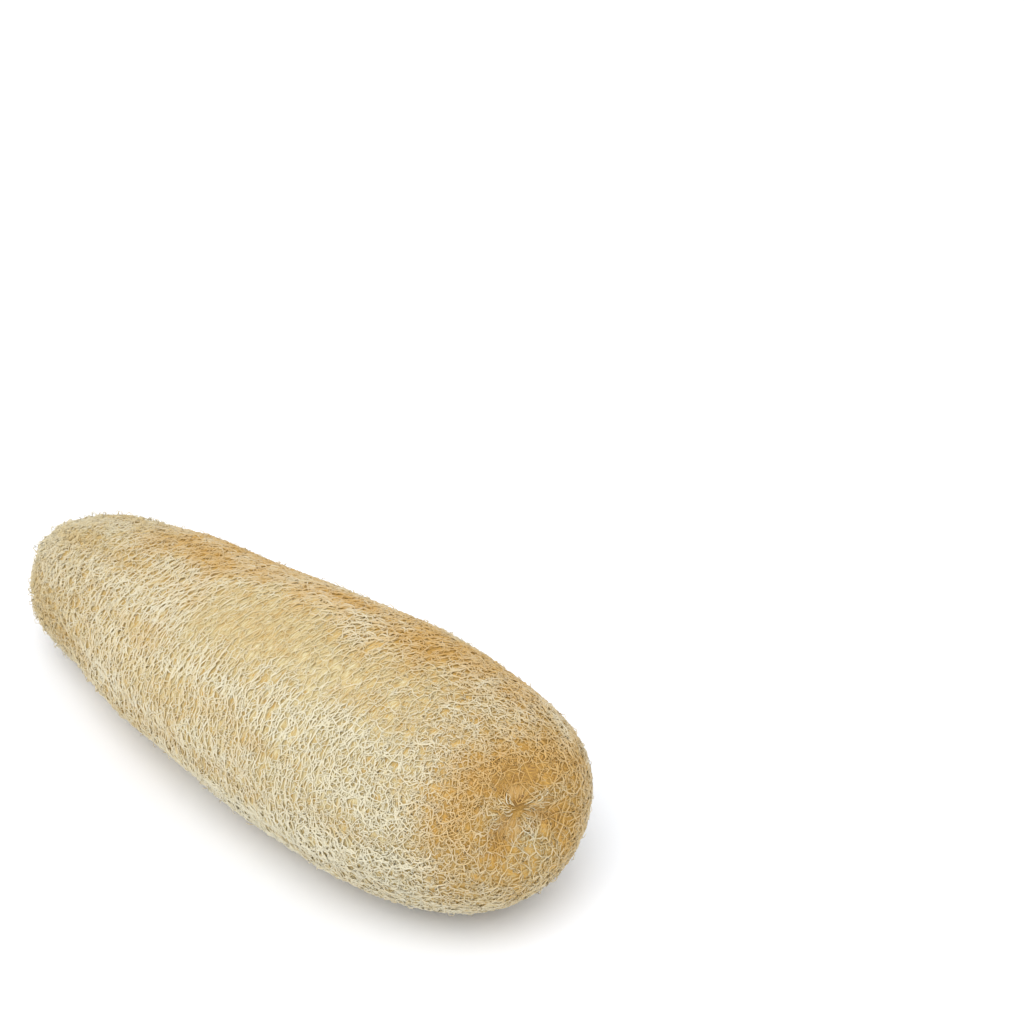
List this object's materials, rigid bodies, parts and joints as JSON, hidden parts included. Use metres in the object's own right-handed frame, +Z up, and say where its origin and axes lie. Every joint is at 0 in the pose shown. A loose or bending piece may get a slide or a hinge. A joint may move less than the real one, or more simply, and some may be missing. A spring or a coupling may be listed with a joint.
{
  "type": "natural loofah sponge",
  "caption": "Whole dried loofah lying on its side: a tapered body of netted plant fibre with a three-lobed scar at its blunt end.",
  "frame": {"origin": "under the middle of the body's box, on the surface that it rests on", "axes": "+X along the body towards the blunt blossom end, +Z up"},
  "size_m": [0.3172, 0.1066, 0.0877],
  "materials": {
    "fibre": "matte"
  },
  "bodies": {
    "root": {"loofah": "fibre"}
  },
  "joints": []
}
